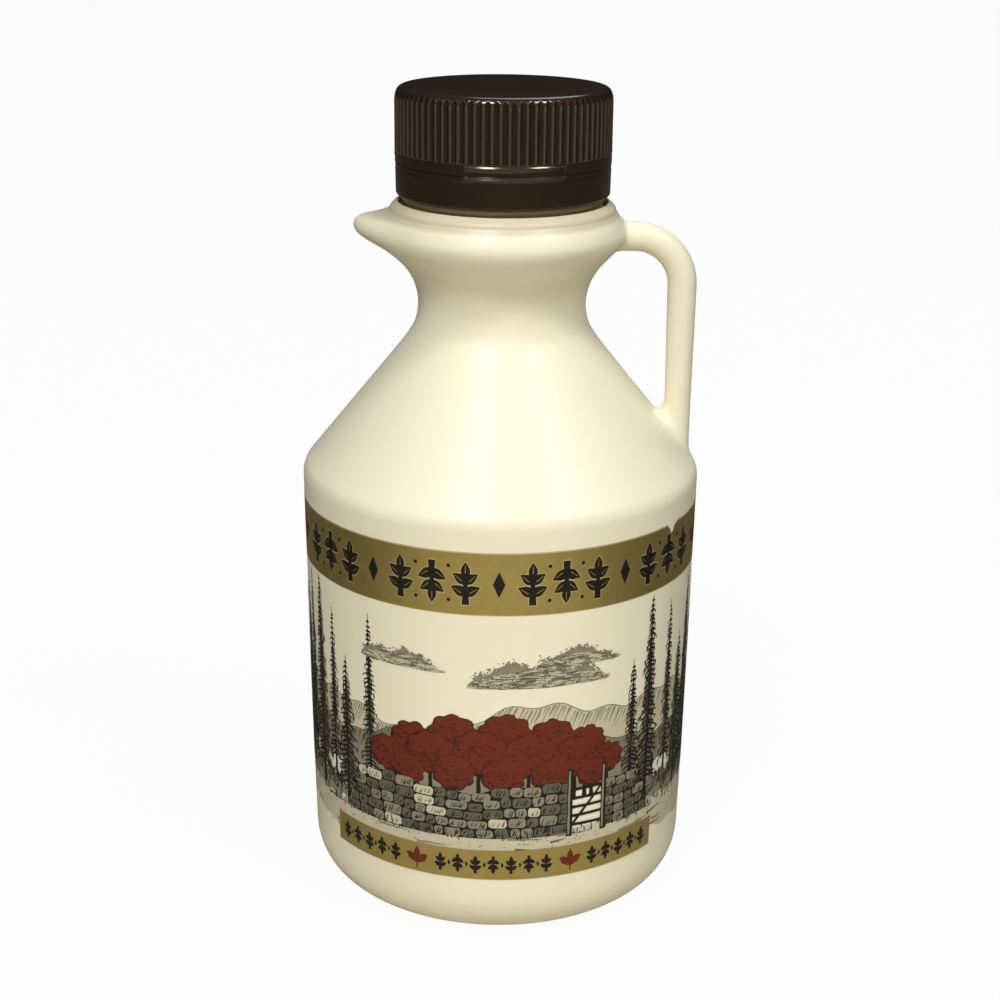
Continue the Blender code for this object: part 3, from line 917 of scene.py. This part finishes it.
def drawWall():
    # a dry-stone wall: courses of uneven stones over a dark ground, with a barred gate
    left, right, low, rows = art["wall"]
    gateLeft, gateRight = art["gate"]
    for start, end in ((left, gateLeft), (gateRight, right)):
        count = int((end - start) / 1.2)
        top = [start + (end - start) * k / count for k in range(count + 1)]
        put("blackInk", 14, [(start, low), (end, low)] + [(u, crestHeight(u)) for u in top[::-1]])
        for row in range(rows):
            u = start
            while u < end - 0.8:
                length = min(vary(2.0, 4.4), end - u)
                tall = (crestHeight(u + length / 2) - low) / rows
                z = low + tall * row
                gap, cut = 0.13, min(0.42, length * 0.2)
                a, b, c, d = u + gap, u + length - gap, z + gap, z + tall - gap
                stone = [(a + cut, c), (b - cut, c), (b, c + cut), (b, d - cut),
                         (b - cut, d), (a + cut, d), (a, d - cut), (a, c + cut)]
                tone = chance.choice(["greyInk"] * 2 + ["darkGreyInk"] * 3 + ["paleGreyInk"])
                put(tone, 15, [(a + vary(-0.1, 0.1), b + vary(-0.1, 0.1)) for a, b in stone])
                for _ in range(int(length * 2)):
                    a = u + vary(0.3, max(length - 0.8, 0.4))
                    pen("blackInk" if tone != "paleGreyInk" else "darkGreyInk", 16,
                        a, z + vary(0.25, 0.8), a + 0.45, z + vary(0.9, tall - 0.25), 0.2, 0.08, 0.04, 1)
                u += length
    for u in (gateLeft, gateRight):
        pen("blackInk", 17, u, low - 0.6, u, 37.2, 1.25, 1.1, 0.05)
        pen("greyInk", 18, u - 0.15, low - 0.2, u - 0.15, 36.9, 0.45, 0.4, 0.04)
    for k in range(5):
        z = 25.2 + k * 1.9
        pen("blackInk", 17, gateLeft + 0.4, z, gateRight - 0.4, z + vary(-0.15, 0.15), 0.62, 0.55, 0.04)
    pen("blackInk", 17, gateLeft + 0.5, 25.2, gateRight - 0.5, 32.8, 0.55, 0.5, 0.04)


def drawGround():
    # trodden ground: a pale wash, streaks along the path and stippling that thins out downwards
    top = art["groundTop"]
    low = []
    for k in range(-33, 34):
        u = k * 2.2
        low.append((u, top - (7.0 - 1.2 * sin(u * 0.23) - 0.7 * sin(u * 0.59)) * fade(u)))
    fill("paleGreyInk", 4, low, [(u, top) for u, _ in low])
    for _ in range(420):
        u = vary(-64, 64)
        z = top - 8.2 * roll() ** 1.5 * fade(u)
        ink = "darkGreyInk" if roll() < 0.75 else "blackInk"
        put(ink, 17, dot(u, z, vary(0.08, 0.2), 5, 0.7))
    for _ in range(34):
        u = vary(-62, 56)
        z = top - 0.2 - 6.6 * roll() * fade(u)
        ink = "greyInk" if roll() < 0.75 else "darkGreyInk"
        pen(ink, 16, u, z, u + vary(2.5, 8.0), z + vary(-0.5, 0.5), 0.5, 0.12, 0.14)
    for _ in range(170):
        u, z = vary(-64, 64), top - 0.8 + vary(-0.8, 1.0)
        pen("blackInk", 18, u, z, u + vary(-0.5, 0.5), z + vary(0.8, 1.9), 0.26, 0.08, 0.04, 2)


def drawScrub():
    # low bushes where the wall ends, in short curved strokes over a grey wash
    for u, z, size in art["scrub"]:
        outline = []
        for k in range(32):
            a = tau * k / 32
            outline.append((u + size * cos(a) * (1 + 0.08 * sin(7 * a)),
                            z + 0.8 * size * max(sin(a), -0.5) * (1 + 0.08 * sin(5 * a))))
        put("greyInk", 15, outline)
        for _ in range(int(size * 26)):
            angle, r = vary(-0.3, pi + 0.3), size * sqrt(roll())
            a, b = u + r * cos(angle), z + 0.8 * r * sin(angle)
            ink = "blackInk" if roll() < 0.6 else "darkGreyInk"
            pen(ink, 16, a, b, a + vary(-0.7, 0.7), b + vary(0.5, 1.5), 0.34, 0.1, 0.08, 2)


def wallPoint(u, z, lift):
    # a place in the flat artwork, put on the wall of the jug
    low, high = jug["heelHeight"], jug["shoulderHeight"]
    share = (z * mm - low) / (high - low)
    radius = between(jug["wallBottomRadius"], jug["shoulderRadius"], share) + lift * mm
    angle = u / art["radius"]
    return (radius * sin(angle), -radius * cos(angle), z * mm)


def makePrint(mottle):
    drawHills()
    drawClouds()
    drawGround()
    for fir in art["farFirs"]:
        drawConifer(*fir, 2)
    drawGrove()
    drawWall()
    drawScrub()
    for fir in art["nearFirs"]:
        drawConifer(*fir, 17)
    drawStrip()
    drawBand()
    for name, shapes in inks.items():
        flat = bmesh.new()
        for shape, level in shapes:
            area = sum(a[0] * b[1] - b[0] * a[1] for a, b in zip(shape, shape[1:] + shape[:1]))
            if abs(area) > 1e-4:
                lift = art["lift"] + art["layer"] * level
                flat.faces.new([flat.verts.new((u, z, lift)) for u, z in (shape if area > 0 else shape[::-1])])
        bmesh.ops.triangulate(flat, faces=[f for f in flat.faces if len(f.verts) > 4])
        # every ink is cut at the same places, so that it bends round the wall evenly
        reach = int(max(abs(v.co.x) for v in flat.verts) / art["step"])
        for k in range(-reach, reach + 1):
            bmesh.ops.bisect_plane(
                flat, geom=flat.verts[:] + flat.edges[:] + flat.faces[:], dist=1e-5,
                plane_co=(k * art["step"], 0, 0), plane_no=(1, 0, 0))
        for vert in flat.verts:
            vert.co = wallPoint(*vert.co)
        mesh = finishMesh(name, flat)
        piece = addObject(name, mesh, makeInk(mottle, name))
        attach(piece, "root")
        print("print,", name, len(mesh.polygons), "faces")


room = {
    # the world's light: everywhere, from the front, from above, and as it is seen directly
    "base": 0.015, "front": 0.56, "above": 0.13, "seen": 1.0, "tone": (1, 0.96, 0.87, 1),
    # the floor throws back more light close in front of the jug than further off
    "floorBright": (0.88, 0.81, 0.67, 1), "floorDark": (0.13, 0.12, 0.105, 1), "floorSeen": (0.6, 0.6, 0.59, 1),
    "floorCentre": (0, -0.21, 0), "floorNear": 0.09, "floorFar": 0.26, "floorSize": 6.0,
    "floorWhite": 0.96, "floorGlow": 1.0, "floorRough": 0.9, "floorShine": 0.1,
    # name, azimuth from the front, elevation, distance, width, power
    "lamps": [("keyLeft", -21, 50, 1.5, 0.35, 12.6), ("keyRight", 50, 50, 1.5, 0.35, 8.2),
              ("fillLeft", -78, 34, 1.5, 0.6, 0.7), ("fillRight", 84, 34, 1.5, 0.6, 0.4),
              ("backSoft", 168, 52, 1.5, 0.8, 4.0)],
    "lampColour": (0.985, 1.0, 1.0), "lampAim": (0, 0, 0.09), "white": (1, 1, 1, 1),
}
view = {
    "distance": 370 * mm, "height": 205 * mm, "pitch": radians(18.72), "roll": radians(0.56),
    "lens": 69.16, "sensor": 36, "clip": 0.01,
}


def makeCamera():
    data = bpy.data.cameras.new("photoCamera")
    data.lens = view["lens"]
    data.sensor_width = view["sensor"]
    data.clip_start = view["clip"]
    camera = addObject("photoCamera", data)
    turn = Matrix.Rotation(pi / 2 - view["pitch"], 4, "X") @ Matrix.Rotation(view["roll"], 4, "Z")
    camera.matrix_world = Matrix.Translation((0, -view["distance"], view["height"])) @ turn
    bpy.context.scene.camera = camera
    print("camera placed")


def makeLamp(name, azimuth, elevation, distance, size, power):
    data = bpy.data.lights.new(name, "AREA")
    data.shape = "DISK"
    data.size = size
    data.energy = power
    data.color = room["lampColour"]
    lamp = addObject(name, data)
    a, e = radians(azimuth), radians(elevation)
    back = Vector((sin(a) * cos(e), -cos(a) * cos(e), sin(e)))
    lamp.location = Vector(room["lampAim"]) + back * distance
    lamp.rotation_mode = "QUATERNION"
    lamp.rotation_quaternion = back.to_track_quat("Z", "Y")


def makeStage():
    shape = bmesh.new()
    bmesh.ops.create_grid(shape, x_segments=1, y_segments=1, size=room["floorSize"])
    mesh = finishMesh("floor", shape)
    material, tree, shader = newMaterial("floorPaper")
    away = addNode(tree, "ShaderNodeVectorMath", {0: addPlace(tree), 1: room["floorCentre"]}, operation="DISTANCE")
    depth = addRange(tree, away["Value"], room["floorNear"], room["floorFar"])
    throw = addMix(tree, depth, room["floorBright"], room["floorDark"])
    paper = feed(tree, shader, {
        "Base Color": addMix(tree, addSeen(tree), throw, room["floorSeen"]),
        "Roughness": room["floorRough"], "Specular IOR Level": room["floorShine"]})
    glow = addNode(tree, "ShaderNodeEmission", {"Color": room["white"], "Strength": room["floorGlow"]})
    share = addMath(tree, "MULTIPLY", addSeen(tree), room["floorWhite"])
    mixed = addNode(tree, "ShaderNodeMixShader", {"Fac": share, 1: paper["BSDF"], 2: glow["Emission"]})
    feed(tree, tree.nodes["Material Output"], {"Surface": mixed["Shader"]})
    floor = addObject("floor", mesh, material)
    print("floor laid")


def makeRoom():
    # a dim room that is brighter on the side the lamps stand, and white where it is seen directly
    world = bpy.data.worlds.new("room")
    world.use_nodes = True
    tree = world.node_tree
    place = addSplit(tree, "Generated")
    front = addMath(tree, "MAXIMUM", addMath(tree, "MULTIPLY", place["Y"], -1.0), 0.0)
    above = addMath(tree, "POWER", addMath(tree, "MAXIMUM", place["Z"], 0.0), 2.0)
    front = addMath(tree, "MULTIPLY", front, room["front"])
    above = addMath(tree, "MULTIPLY", above, room["above"])
    level = addMath(tree, "ADD", addMath(tree, "ADD", front, above), room["base"])
    seen = addSeen(tree)
    feed(tree, tree.nodes["Background"], {
        "Strength": addMix(tree, seen, level, room["seen"], "FLOAT"),
        "Color": addMix(tree, seen, room["tone"], room["white"])})
    bpy.context.scene.world = world
    for lamp in room["lamps"]:
        makeLamp(*lamp)
    bpy.context.scene.view_settings.view_transform = "Standard"
    print("room lit,", len(room["lamps"]), "lamps")


makeCamera()
makeStage()
makeRoom()
mottle = makeMottleGroup()
ringMask = makeRingMaskGroup()
cream = makeCream(mottle, ringMask)
brown = makeBrown(mottle, ringMask)
print("materials: plastic and cap")
makeJug(cream)
makeCap(brown)
makeBand(brown)
makePrint(mottle)
